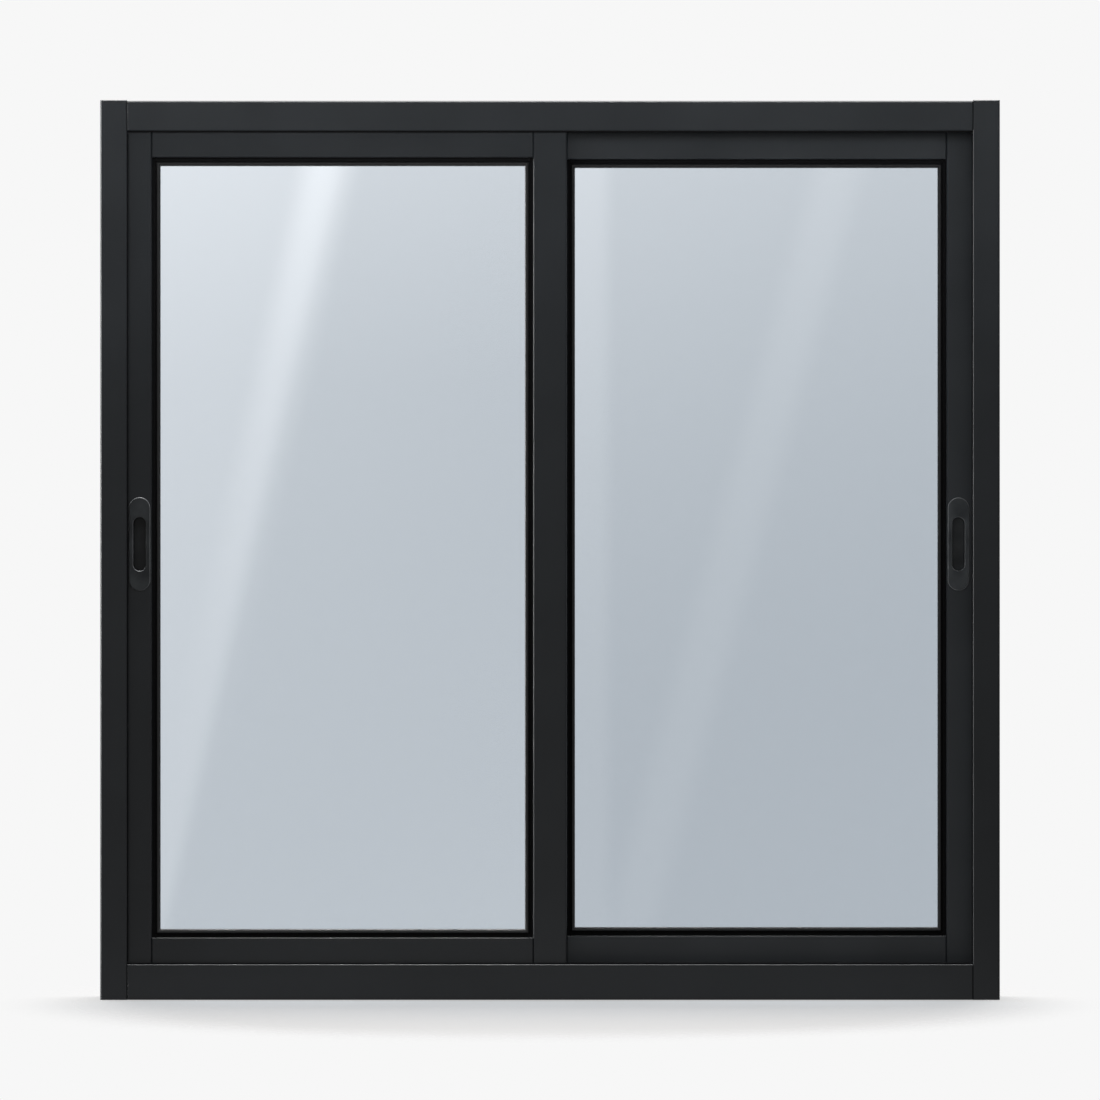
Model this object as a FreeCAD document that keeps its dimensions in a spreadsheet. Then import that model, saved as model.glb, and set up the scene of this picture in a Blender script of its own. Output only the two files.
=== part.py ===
import FreeCAD, Part
import Sketcher
import math
import os
import re

# A two-track horizontal sliding window of black extruded aluminium. X runs along the tracks, Z is up,
# the room side faces -Y, and the origin is under the middle of the sill. Lengths are in millimetres.

SIZES = {
    # Outer frame
    "window_width": 1200,
    "window_height": 1200,
    "jamb_face": 36,
    "head_face": 40,
    "sill_face": 47.5,
    "head_drop": 1,
    "jamb_base": 18,
    "head_base": 12,
    "sill_base": 20,
    "lip_wall": 2.5,
    "frame_wall": 2,
    "jamb_middle_fin": 5,
    "corner_round": 3.2,
    "lip_round": 1.8,
    "screw_hole_radius": 3,
    "screw_hole_spacing": 800,
    "weep_length": 30,
    "weep_height": 5,
    "weep_spacing": 800,
    # Tracks
    "track_foot": 14,
    "track_foot_wall": 2,
    "track_stem": 3,
    "track_bead_radius": 2.5,
    "track_clearance": 5.5,
    "guide_rib": 3,
    "guide_clearance": 5.5,
    # How the sashes lie in the frame
    "lip_overlap": 12.5,
    "running_gap": 5,
    # Sash members
    "sash_depth": 28,
    "sash_wall": 2,
    "stile_round": 2.4,
    "rail_round": 1.4,
    "joint_bevel": 1,
    "stile_face": 45,
    "rail_face": 47.5,
    "meeting_overhang": 22.5,
    "rail_channel": 24,
    "glazing_setback": 6.5,
    "glazing_leg": 5.5,
    "glazing_pocket": 4,
    # Glass and its gaskets
    "glass_thickness": 6,
    "glass_edge_gap": 2,
    "gasket_tail": 6.5,
    "gasket_bulb_width": 5.5,
    "gasket_bulb_drop": 1,
    "gasket_bulb_round": 2.4,
    # Interlock hooks at the meeting stiles
    "interlock_wall": 2,
    "interlock_base_width": 7,
    "interlock_inset": 0.5,
    "interlock_bite": 5,
    # Flush pulls
    "pull_width": 29,
    "pull_length": 125,
    "pull_proud": 2.5,
    "pull_height": 608,
    "recess_width": 17,
    "recess_length": 72,
    "recess_depth": 13,
    "plate_bevel": 1.2,
    "recess_rim_bevel": 0.8,
    "recess_floor_bevel": 1,
    "cup_wall": 1.2,
    "cup_clearance": 0.3,
    # Rollers under the sashes and guides over them
    "wheel_hub_radius": 7.5,
    "wheel_rim": 2.5,
    "wheel_width": 9,
    "wheel_clearance": 0.3,
    "axle_radius": 2.5,
    "cheek_gap": 0.5,
    "cheek_wall": 2.5,
    "cheek_drop": 4.3,
    "carriage_length": 60,
    "carriage_plate": 3,
    "carriage_inset": 45,
    "guide_block_length": 50,
    "guide_block_height": 16,
    "guide_block_inset": 45,
    "guide_slot_gap": 0.6,
}

# Places worked out from the sizes
PLACES = {
    "half_width": "window_width / 2",
    "jamb_edge": "half_width - jamb_face",
    "jamb_web": "half_width - jamb_base",
    "sash_spacing": "3 * running_gap + 2 * interlock_wall + pull_proud",
    "frame_depth": "2 * lip_wall + 2 * running_gap + pull_proud + 2 * sash_depth + sash_spacing",
    "half_depth": "frame_depth / 2",
    "front_track": "lip_wall + running_gap + pull_proud + sash_depth / 2 - half_depth",
    "rear_track": "half_depth - lip_wall - running_gap - sash_depth / 2",
    "middle_fin": "(front_track + rear_track) / 2",
    "head_top": "window_height - head_drop",
    "sash_bottom": "sill_face - lip_overlap",
    "sash_top": "head_top - head_face + lip_overlap",
    "sash_height": "sash_top - sash_bottom",
    "sash_outer_edge": "jamb_edge + lip_overlap",
    "sash_width": "sash_outer_edge + meeting_overhang",
    "rail_length": "sash_width - 2 * stile_face",
    "sash_middle": "(sash_outer_edge - meeting_overhang) / 2",
    "half_sash_depth": "sash_depth / 2",
    "half_pocket": "half_sash_depth - glazing_setback - sash_wall",
    "gasket_grip": "half_pocket - glass_thickness / 2",
    "bead_top": "sash_bottom - track_clearance",
    "bead_centre": "bead_top - track_bead_radius",
    "wheel_groove_radius": "track_bead_radius + wheel_clearance",
    "axle_height": "bead_centre + wheel_groove_radius + wheel_hub_radius",
    "wheel_radius": "wheel_hub_radius + wheel_rim",
    "glass_width": "sash_width - 2 * (stile_face - glazing_pocket + glass_edge_gap)",
    "glass_height": "sash_height - 2 * (rail_face - glazing_pocket + glass_edge_gap)",
    "glass_bottom": "sash_bottom + rail_face - glazing_pocket + glass_edge_gap",
    "cup_width": "recess_width + 2 * cup_wall",
    "cup_length": "recess_length + 2 * cup_wall",
    "pull_centre": "jamb_edge - pull_width / 2 - (stile_face - lip_overlap - pull_width) / 2",
}

# Points closer than this are taken to be the same point
SAME_PLACE = 0.01

doc = FreeCAD.newDocument("sliding_window")
sheet = doc.addObject("Spreadsheet::Sheet", "sizes")
for row, (name, size) in enumerate(SIZES.items(), start=1):
    sheet.set(f"A{row}", name)
    sheet.set(f"B{row}", str(size))
    sheet.setAlias(f"B{row}", name)
doc.recompute()

nodes = []


def spell(text):
    """The formula with each named size written as its cell and each named place as its own formula."""
    def swap(match):
        word = match.group(0)
        if word in PLACES:
            return f"({spell(PLACES[word])})"
        return f"sizes.{word}"
    return re.sub(r"[a-z][a-z_]+", swap, text)


def value(text):
    return float(sheet.evalExpression(spell(text)))


def bind(thing, prop, text):
    thing.setExpression(prop, spell(text))


def new_body(label):
    body = doc.addObject("PartDesign::Body", label)
    body.Label = label
    return body


def new_sketch(body, plane, offset=None):
    """A sketch on one of the body's own origin planes, moved along the plane's normal by a formula."""
    sketch = body.newObject("Sketcher::SketchObject", f"{body.Name}_sketch")
    support = next(item for item in body.Origin.OriginFeatures if item.Role == plane)
    sketch.AttachmentSupport = [(support, "")]
    sketch.MapMode = "FlatFace"
    if offset:
        bind(sketch, "AttachmentOffset.Base.z", offset)
    return sketch


def hold(sketch, kind, geometry, point, text):
    """A dimension from the sketch's origin to a point, set by a formula."""
    index = sketch.addConstraint(Sketcher.Constraint(kind, geometry, point, value(text)))
    bind(sketch, f"Constraints[{index}]", text)


def add_outline(sketch, corners):
    """A closed outline of straight lines, each corner held by its own two dimensions."""
    points = [FreeCAD.Vector(value(across), value(up), 0) for across, up in corners]
    first = sketch.GeometryCount
    for start, end in zip(points, points[1:] + points[:1]):
        sketch.addGeometry(Part.LineSegment(start, end), False)
    for index, (across, up) in enumerate(corners):
        following = (index + 1) % len(corners)
        sketch.addConstraint(Sketcher.Constraint("Coincident", first + index, 2, first + following, 1))
        hold(sketch, "DistanceX", first + index, 1, across)
        hold(sketch, "DistanceY", first + index, 1, up)


def add_rectangle(sketch, left, right, bottom, top):
    add_outline(sketch, [(left, bottom), (right, bottom), (right, top), (left, top)])


def add_circle(sketch, across, up, radius):
    centre = FreeCAD.Vector(value(across), value(up), 0)
    index = sketch.addGeometry(Part.Circle(centre, FreeCAD.Vector(0, 0, 1), value(radius)), False)
    hold(sketch, "DistanceX", index, 3, across)
    hold(sketch, "DistanceY", index, 3, up)
    rim = sketch.addConstraint(Sketcher.Constraint("Radius", index, value(radius)))
    bind(sketch, f"Constraints[{rim}]", radius)


def add_upright_slot(sketch, width, length):
    """An upright slot with round ends, centred on the sketch's origin."""
    radius = value(width) / 2
    reach = value(length) / 2 - radius
    up = FreeCAD.Vector(0, 0, 1)
    top = sketch.addGeometry(
        Part.ArcOfCircle(Part.Circle(FreeCAD.Vector(0, reach, 0), up, radius), 0, math.pi), False)
    bottom = sketch.addGeometry(
        Part.ArcOfCircle(Part.Circle(FreeCAD.Vector(0, -reach, 0), up, radius), math.pi, 2 * math.pi), False)
    left = sketch.addGeometry(
        Part.LineSegment(FreeCAD.Vector(-radius, reach, 0), FreeCAD.Vector(-radius, -reach, 0)), False)
    right = sketch.addGeometry(
        Part.LineSegment(FreeCAD.Vector(radius, -reach, 0), FreeCAD.Vector(radius, reach, 0)), False)
    for first, second in ((top, left), (left, bottom), (bottom, right), (right, top)):
        sketch.addConstraint(Sketcher.Constraint("Tangent", first, 2, second, 1))
    for arc, side in ((top, ""), (bottom, "-")):
        hold(sketch, "DistanceX", arc, 3, "0")
        hold(sketch, "DistanceY", arc, 3, f"{side}(({length}) - ({width})) / 2")
        rim = sketch.addConstraint(Sketcher.Constraint("Radius", arc, radius))
        bind(sketch, f"Constraints[{rim}]", f"({width}) / 2")


def pad(body, sketch, length, both_ways=False, backwards=False):
    feature = body.newObject("PartDesign::Pad", f"{body.Name}_pad")
    feature.Profile = sketch
    bind(feature, "Length", length)
    feature.Midplane = both_ways
    feature.Reversed = backwards


def cut(body, sketch, length=None, both_ways=False, backwards=False):
    """A pocket of the given depth, or one through everything, that has to take material away."""
    doc.recompute()
    before = body.Shape.Volume
    feature = body.newObject("PartDesign::Pocket", f"{body.Name}_cut")
    feature.Profile = sketch
    if length:
        bind(feature, "Length", length)
    else:
        feature.Type = "ThroughAll"
    feature.Midplane = both_ways
    feature.Reversed = backwards
    doc.recompute()
    if not body.Shape.Volume < before:
        raise RuntimeError(f"a cut in {body.Label} takes nothing away")


def soften(body, kind, measure, size, lines):
    """Dresses the body's edges that lie on the given lines, each told by the coordinates it keeps."""
    doc.recompute()
    base = body.Tip
    spots = [{axis: value(text) for axis, text in line.items()} for line in lines]

    def lies_on(edge, spot):
        return all(abs(getattr(corner.Point, axis) - at) < SAME_PLACE
                   for corner in edge.Vertexes for axis, at in spot.items())

    names = [f"Edge{number}" for number, edge in enumerate(base.Shape.Edges, start=1)
             if any(lies_on(edge, spot) for spot in spots)]
    if not names:
        raise RuntimeError(f"{body.Label} has no edge there to soften")
    feature = body.newObject(f"PartDesign::{kind}", f"{body.Name}_{kind}")
    feature.Base = (base, names)
    bind(feature, measure, size)


def round_edges(body, radius, *lines):
    soften(body, "Fillet", "Radius", radius, lines)


def bevel_edges(body, size, *lines):
    soften(body, "Chamfer", "Size", size, lines)


def place(body, across, deep, up, turned=False):
    """Puts a body in the window, turned half round about the upright where the other side uses it."""
    half_turn = FreeCAD.Rotation(FreeCAD.Vector(0, 0, 1), 180 if turned else 0)
    body.Placement = FreeCAD.Placement(FreeCAD.Vector(), half_turn)
    for axis, text in zip("xyz", (across, deep, up)):
        bind(body, f"Placement.Base.{axis}", text)


def keep(body):
    nodes.append(body)


def jamb(label, turned):
    """Upright of the outer frame: a hollow base with a lip for each face and a short fin between tracks."""
    body = new_body(label)
    profile = new_sketch(body, "XY_Plane")
    front, rear = "-half_depth", "half_depth"
    mirror = "-" if turned else ""
    fin = f"{mirror}middle_fin"
    add_outline(profile, [
        ("0", front), ("jamb_face", front), ("jamb_face", f"{front} + lip_wall"),
        ("jamb_base", f"{front} + lip_wall"), ("jamb_base", f"{fin} - lip_wall / 2"),
        ("jamb_base + jamb_middle_fin", f"{fin} - lip_wall / 2"),
        ("jamb_base + jamb_middle_fin", f"{fin} + lip_wall / 2"),
        ("jamb_base", f"{fin} + lip_wall / 2"), ("jamb_base", f"{rear} - lip_wall"),
        ("jamb_face", f"{rear} - lip_wall"), ("jamb_face", rear), ("0", rear)])
    add_rectangle(profile, "frame_wall", "jamb_base - frame_wall", f"{front} + lip_wall", f"{rear} - lip_wall")
    pad(body, profile, "window_height")
    holes = new_sketch(body, "YZ_Plane")
    for track in ("front_track", "rear_track"):
        for side in ("-", "+"):
            add_circle(holes, f"{mirror}{track}", f"window_height / 2 {side} screw_hole_spacing / 2",
                       "screw_hole_radius")
    cut(body, holes, "jamb_base", backwards=True)
    bevel_edges(body, "joint_bevel", *({"y": face, "z": end} for face in (front, rear)
                                       for end in ("0", "window_height")))
    round_edges(body, "corner_round", *({"x": "0", "y": face} for face in (front, rear)))
    round_edges(body, "lip_round", *({"x": "jamb_face", "y": face} for face in (front, rear)))
    place(body, "half_width" if turned else "-half_width", "0", "0", turned)
    keep(body)


def cope_ends(body):
    """Cuts both ends of a head or sill back round the jambs' lips and fin, and eases the joints' edges."""
    ends = new_sketch(body, "XY_Plane")
    for side in ("-", ""):
        near, far = f"{side}jamb_edge", f"{side}half_width"
        add_rectangle(ends, near, far, "-2 * half_depth", "lip_wall - half_depth")
        add_rectangle(ends, near, far, "half_depth - lip_wall", "2 * half_depth")
        add_rectangle(ends, f"{side}(jamb_web - jamb_middle_fin)", far,
                      "middle_fin - lip_wall / 2", "middle_fin + lip_wall / 2")
    cut(body, ends, both_ways=True)
    bevel_edges(body, "joint_bevel", *({"x": f"{side}jamb_edge", "y": face} for side in ("-", "")
                                       for face in ("-half_depth", "half_depth")))


def round_frame_edges(body, outer, lip):
    """Rounds the long edges of a head or sill, on its outer side and at its lips."""
    for radius, up in (("corner_round", outer), ("lip_round", lip)):
        round_edges(body, radius, *({"y": face, "z": up} for face in ("-half_depth", "half_depth")))


def sill():
    """Bottom of the outer frame: a hollow base with a lip for each face and a fin between the tracks."""
    body = new_body("sill")
    profile = new_sketch(body, "YZ_Plane")
    add_outline(profile, [
        ("-half_depth", "0"), ("half_depth", "0"), ("half_depth", "sill_face"),
        ("half_depth - lip_wall", "sill_face"), ("half_depth - lip_wall", "sill_base"),
        ("middle_fin + lip_wall / 2", "sill_base"), ("middle_fin + lip_wall / 2", "sill_face"),
        ("middle_fin - lip_wall / 2", "sill_face"), ("middle_fin - lip_wall / 2", "sill_base"),
        ("lip_wall - half_depth", "sill_base"), ("lip_wall - half_depth", "sill_face"),
        ("-half_depth", "sill_face")])
    add_rectangle(profile, "lip_wall - half_depth", "half_depth - lip_wall",
                  "frame_wall", "sill_base - frame_wall")
    pad(body, profile, "2 * jamb_web", both_ways=True)
    cope_ends(body)
    weeps = new_sketch(body, "XZ_Plane", "2 * lip_wall - half_depth")
    for side in ("-", "+"):
        middle = f"0 {side} weep_spacing / 2"
        add_rectangle(weeps, f"{middle} - weep_length / 2", f"{middle} + weep_length / 2",
                      "sill_base", "sill_base + weep_height")
    cut(body, weeps)
    round_frame_edges(body, "0", "sill_face")
    keep(body)


def track_rail(label, track):
    """Rail that a sash rolls on: a foot on the web of the sill, a stem and a round bead."""
    body = new_body(label)
    profile = new_sketch(body, "YZ_Plane")
    foot_top = "sill_base + track_foot_wall"
    add_outline(profile, [
        ("-track_foot / 2", "sill_base"), ("track_foot / 2", "sill_base"), ("track_foot / 2", foot_top),
        ("track_stem / 2", foot_top), ("track_stem / 2", "bead_centre"), ("-track_stem / 2", "bead_centre"),
        ("-track_stem / 2", foot_top), ("-track_foot / 2", foot_top)])
    pad(body, profile, "2 * jamb_web", both_ways=True)
    bead = new_sketch(body, "YZ_Plane")
    add_circle(bead, "0", "bead_centre", "track_bead_radius")
    pad(body, bead, "2 * jamb_web", both_ways=True)
    place(body, "0", track, "0")
    keep(body)


def head():
    """Top of the outer frame, with a rib over each sash for its guide blocks."""
    body = new_body("head")
    profile = new_sketch(body, "YZ_Plane")
    web = "head_top - head_base"
    lip_end = "head_top - head_face"
    outline = [("half_depth", "head_top"), ("-half_depth", "head_top"), ("-half_depth", lip_end),
               ("lip_wall - half_depth", lip_end), ("lip_wall - half_depth", web)]
    for centre, wall, end in (("front_track", "guide_rib", "sash_top + guide_clearance"),
                              ("middle_fin", "lip_wall", lip_end),
                              ("rear_track", "guide_rib", "sash_top + guide_clearance")):
        outline += [(f"{centre} - {wall} / 2", web), (f"{centre} - {wall} / 2", end),
                    (f"{centre} + {wall} / 2", end), (f"{centre} + {wall} / 2", web)]
    outline += [("half_depth - lip_wall", web), ("half_depth - lip_wall", lip_end), ("half_depth", lip_end)]
    add_outline(profile, outline)
    add_rectangle(profile, "lip_wall - half_depth", "half_depth - lip_wall",
                  f"{web} + frame_wall", "head_top - frame_wall")
    pad(body, profile, "2 * jamb_web", both_ways=True)
    cope_ends(body)
    round_frame_edges(body, "head_top", lip_end)
    keep(body)


def glazing_side(face):
    """The corners of a sash member's glass side, from its front face to its back face."""
    leg = f"{face} + glazing_leg"
    pocket = f"{face} - glazing_pocket"
    outer, inner = "half_sash_depth - glazing_setback", "half_pocket"
    return [(face, "-half_sash_depth"), (face, f"-({outer})"), (leg, f"-({outer})"), (leg, f"-({inner})"),
            (pocket, f"-({inner})"), (pocket, inner), (leg, inner), (leg, outer), (face, outer),
            (face, "half_sash_depth")]


def stile(label, edge, track, turned):
    """Upright of a sash: a hollow box with a pocket for the glass between two legs."""
    body = new_body(label)
    profile = new_sketch(body, "XY_Plane")
    outer = "half_sash_depth - sash_wall"
    add_outline(profile, [("0", "half_sash_depth"), ("0", "-half_sash_depth")]
                + glazing_side("stile_face"))
    add_rectangle(profile, "sash_wall", "stile_face - glazing_pocket - sash_wall", f"-({outer})", outer)
    pad(body, profile, "sash_height")
    ends = new_sketch(body, "XZ_Plane")
    reach = "rail_face + glazing_leg"
    for low, high in (("-sash_wall", reach), (f"sash_height - ({reach})", "sash_height + sash_wall")):
        add_rectangle(ends, "stile_face", "stile_face + 2 * glazing_leg", low, high)
    cut(body, ends, both_ways=True)
    round_edges(body, "stile_round", *({"x": across, "y": face} for across in ("0", "stile_face")
                                       for face in ("-half_sash_depth", "half_sash_depth")))
    place(body, edge, track, "sash_bottom", turned)
    keep(body)
    return body


def rail(label, top, centre, track):
    """Crosswise member of a sash: a channel towards the frame and a pocket for the glass."""
    body = new_body(label)
    profile = new_sketch(body, "YZ_Plane")

    def upright(text):
        return f"sash_height - ({text})" if top else text

    outer = "half_sash_depth - sash_wall"
    outline = [("-half_sash_depth", upright("0"))]
    outline += [(deep, upright(up)) for up, deep in glazing_side("rail_face")]
    outline += [("half_sash_depth", upright("0")), (outer, upright("0")),
                (outer, upright("rail_channel")), (f"-({outer})", upright("rail_channel")),
                (f"-({outer})", upright("0"))]
    add_outline(profile, outline)
    add_rectangle(profile, f"-({outer})", outer, upright("rail_channel + sash_wall"),
                  upright("rail_face - glazing_pocket - sash_wall"))
    pad(body, profile, "rail_length", both_ways=True)
    faces = ("-half_sash_depth", "half_sash_depth")
    bevel_edges(body, "joint_bevel", *({"x": f"{side}rail_length / 2", "y": face} for side in ("-", "")
                                       for face in faces))
    round_edges(body, "rail_round", *({"y": face, "z": upright(up)} for up in ("0", "rail_face")
                                      for face in faces))
    place(body, centre, track, "sash_bottom")
    keep(body)


def ring(body, offset, outer_inset, inner_inset, thickness, backwards):
    """A rectangular ring about the glass, its edges set in from the glass's own edges."""
    sketch = new_sketch(body, "XZ_Plane", offset)
    for inset in (outer_inset, inner_inset):
        add_rectangle(sketch, f"{inset} - glass_width / 2", f"glass_width / 2 - ({inset})",
                      inset, f"glass_height - ({inset})")
    pad(body, sketch, thickness, backwards=backwards)


def gasket(label, side, centre, track):
    """Rubber round one face of the glass: a tail gripped behind the legs and a rounded bulb in front."""
    body = new_body(label)
    back = side == "back"
    face = "-glass_thickness / 2" if back else "glass_thickness / 2"
    bite = "glazing_pocket - glass_edge_gap + glazing_leg"
    ring(body, face, f"{bite} - gasket_tail", f"{bite} + gasket_bulb_width", "gasket_grip", back)
    crest = "half_sash_depth - glazing_setback + gasket_bulb_drop"
    ring(body, face, bite, f"{bite} + gasket_bulb_width", f"{crest} - glass_thickness / 2", back)
    round_edges(body, "gasket_bulb_round", {"y": crest if back else f"-({crest})"})
    place(body, centre, track, "glass_bottom")
    keep(body)


def glass(label, centre, track):
    body = new_body(label)
    sketch = new_sketch(body, "XZ_Plane")
    add_rectangle(sketch, "-glass_width / 2", "glass_width / 2", "0", "glass_height")
    pad(body, sketch, "glass_thickness", both_ways=True)
    place(body, centre, track, "glass_bottom")
    keep(body)


def interlock(label, reach, track, turned):
    """Hooked strip on the meeting stile that catches the other sash's strip when the window is shut."""
    body = new_body(label)
    profile = new_sketch(body, "XY_Plane")
    edge = "meeting_overhang - interlock_inset"
    root = f"{edge} - interlock_base_width"
    face = "half_sash_depth"
    tip = f"{face} + {reach}"
    add_outline(profile, [
        (edge, face), (edge, f"{face} + interlock_wall"),
        (f"{root} + interlock_wall", f"{face} + interlock_wall"), (f"{root} + interlock_wall", tip),
        ("-interlock_bite / 2", tip), ("-interlock_bite / 2", f"{tip} - interlock_wall"),
        (root, f"{tip} - interlock_wall"), (root, face)])
    pad(body, profile, "sash_height - 2 * lip_overlap - 2 * running_gap")
    place(body, "0", track, "sash_bottom + lip_overlap + running_gap", turned)
    keep(body)


def pull(label, centre, track):
    """Flush pull: a plate with round ends on the stile's face and a finger cup sunk into the stile."""
    body = new_body(label)
    plate = new_sketch(body, "XZ_Plane", "half_sash_depth")
    add_upright_slot(plate, "pull_width", "pull_length")
    pad(body, plate, "pull_proud")
    face = "-(half_sash_depth + pull_proud)"
    bevel_edges(body, "plate_bevel", {"y": face})
    cup = new_sketch(body, "XZ_Plane", "half_sash_depth")
    add_upright_slot(cup, "cup_width", "cup_length")
    pad(body, cup, "recess_depth + cup_wall - pull_proud", backwards=True)
    recess = new_sketch(body, "XZ_Plane", "half_sash_depth + pull_proud")
    add_upright_slot(recess, "recess_width", "recess_length")
    cut(body, recess, "recess_depth")
    bevel_edges(body, "recess_floor_bevel", {"y": f"{face} + recess_depth"})
    bevel_edges(body, "recess_rim_bevel", {"x": "recess_width / 2", "y": face})
    place(body, centre, track, "pull_height")
    keep(body)


def cut_mortise(body, across, turned):
    """The slot in the front face of a stile that takes the pull's cup."""
    sketch = new_sketch(body, "XZ_Plane", "sash_wall - half_sash_depth" if turned else "half_sash_depth")
    width, length = "cup_width + 2 * cup_clearance", "cup_length + 2 * cup_clearance"
    add_upright_slot(sketch, width, length)
    bind(sketch, "AttachmentOffset.Base.x", across)
    bind(sketch, "AttachmentOffset.Base.y", "pull_height - sash_bottom")
    cut(body, sketch, "sash_wall")


def pair(body):
    """The body's twin at the other end of the rail, mirrored across the rail's middle."""
    doc.recompute()
    twin = body.newObject("PartDesign::Mirrored", f"{body.Name}_twin")
    twin.TransformMode = "Whole shape"
    twin.MirrorPlane = (next(item for item in body.Origin.OriginFeatures if item.Role == "YZ_Plane"), [""])
    body.Tip = twin


def carriages(label, centre, track):
    """Roller carriages in the bottom rail: a plate under the rail's web, two cheeks and an axle."""
    body = new_body(label)
    middle = "rail_length / 2 - carriage_inset"
    profile = new_sketch(body, "YZ_Plane", middle)
    roof = "sash_bottom + rail_channel"
    under = f"{roof} - carriage_plate"
    low = "axle_height - cheek_drop"
    side = "half_sash_depth - sash_wall"
    inner = "wheel_width / 2 + cheek_gap"
    add_outline(profile, [
        (f"-({side})", roof), (f"-({side})", under), (f"-({inner} + cheek_wall)", under),
        (f"-({inner} + cheek_wall)", low), (f"-({inner})", low), (f"-({inner})", under), (inner, under),
        (inner, low), (f"{inner} + cheek_wall", low), (f"{inner} + cheek_wall", under), (side, under),
        (side, roof)])
    pad(body, profile, "carriage_length", both_ways=True)
    axle = new_sketch(body, "XZ_Plane")
    add_circle(axle, middle, "axle_height", "axle_radius")
    pad(body, axle, f"2 * ({inner} + cheek_wall)", both_ways=True)
    pair(body)
    place(body, centre, track, "0")
    keep(body)


def wheels(label, centre, track):
    """Grooved wheels on the axles, running on the bead of the track."""
    body = new_body(label)
    middle = "rail_length / 2 - carriage_inset"
    profile = new_sketch(body, "YZ_Plane", middle)
    bind(profile, "AttachmentOffset.Base.y", "axle_height")
    bore = "axle_radius + wheel_clearance"
    floor = "wheel_groove_radius / 2"
    mouth = f"{floor} + wheel_rim"
    add_outline(profile, [
        ("-wheel_width / 2", bore), ("wheel_width / 2", bore), ("wheel_width / 2", "wheel_radius"),
        (mouth, "wheel_radius"), (floor, "wheel_hub_radius"), (f"-({floor})", "wheel_hub_radius"),
        (f"-({mouth})", "wheel_radius"), ("-wheel_width / 2", "wheel_radius")])
    turned = body.newObject("PartDesign::Revolution", f"{label}_turned")
    turned.Profile = profile
    turned.ReferenceAxis = (profile, ["H_Axis"])
    turned.Angle = 360
    pair(body)
    place(body, centre, track, "0")
    keep(body)


def guide_blocks(label, centre, track):
    """Slotted blocks in the top rail that keep the sash upright along the rib of the head."""
    body = new_body(label)
    profile = new_sketch(body, "YZ_Plane", "rail_length / 2 - guide_block_inset")
    side = "half_sash_depth - sash_wall"
    slot = "guide_rib / 2 + guide_slot_gap"
    top = "head_top - head_base - running_gap"
    floor = "sash_top"
    low = "sash_top - guide_block_height"
    add_outline(profile, [
        (f"-({side})", low), (side, low), (side, top), (slot, top), (slot, floor), (f"-({slot})", floor),
        (f"-({slot})", top), (f"-({side})", top)])
    pad(body, profile, "guide_block_length", both_ways=True)
    pair(body)
    place(body, centre, track, "0")
    keep(body)


def sash(name, track, turned):
    """One sliding sash. The rear one is the front one turned about, with its pull on the same face."""
    side = "" if turned else "-"
    outer = f"{side}sash_outer_edge"
    inner = "-meeting_overhang" if turned else "meeting_overhang"
    centre = f"{side}sash_middle"
    handle_stile = stile(f"{name}_handle_stile", outer, track, turned)
    cut_mortise(handle_stile, "sash_outer_edge - (pull_centre)", turned)
    stile(f"{name}_meeting_stile", inner, track, not turned)
    for which, top in (("bottom", False), ("top", True)):
        rail(f"{name}_{which}_rail", top, centre, track)
    glass(f"{name}_glass", centre, track)
    gasket(f"{name}_front_gasket", "front", centre, track)
    gasket(f"{name}_back_gasket", "back", centre, track)
    reach = "sash_spacing - running_gap" if turned else "2 * running_gap + 2 * interlock_wall"
    interlock(f"{name}_interlock", reach, track, turned)
    pull(f"{name}_pull", f"{side}(pull_centre)", track)
    carriages(f"{name}_roller_carriages", centre, track)
    wheels(f"{name}_roller_wheels", centre, track)
    guide_blocks(f"{name}_guide_blocks", centre, track)


jamb("left_jamb", False)
jamb("right_jamb", True)
head()
sill()
track_rail("front_track_rail", "front_track")
track_rail("rear_track_rail", "rear_track")
sash("left_sash", "front_track", False)
sash("right_sash", "rear_track", True)
doc.recompute()

for thing in doc.Objects:
    if "Invalid" in thing.State or "Error" in thing.State:
        raise RuntimeError(f"{thing.Label} could not be made: {thing.State}")
for body in nodes:
    if body.Shape.isNull() or not body.Shape.isValid():
        raise RuntimeError(f"{body.Label} has no valid shape")

os.makedirs("parts", exist_ok=True)
for body in nodes:
    body.Shape.exportStep(f"parts/{body.Label}.step")
print(f"{len(nodes)} nodes written")
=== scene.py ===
"""Finishes, small fittings and studio stage of a two-sash horizontal sliding window."""
import math
import random

import bmesh
import bpy
from bpy.props import FloatProperty, IntProperty, PointerProperty, StringProperty
from bpy.types import Operator, Panel, PropertyGroup
from mathutils import Matrix, Vector


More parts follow.
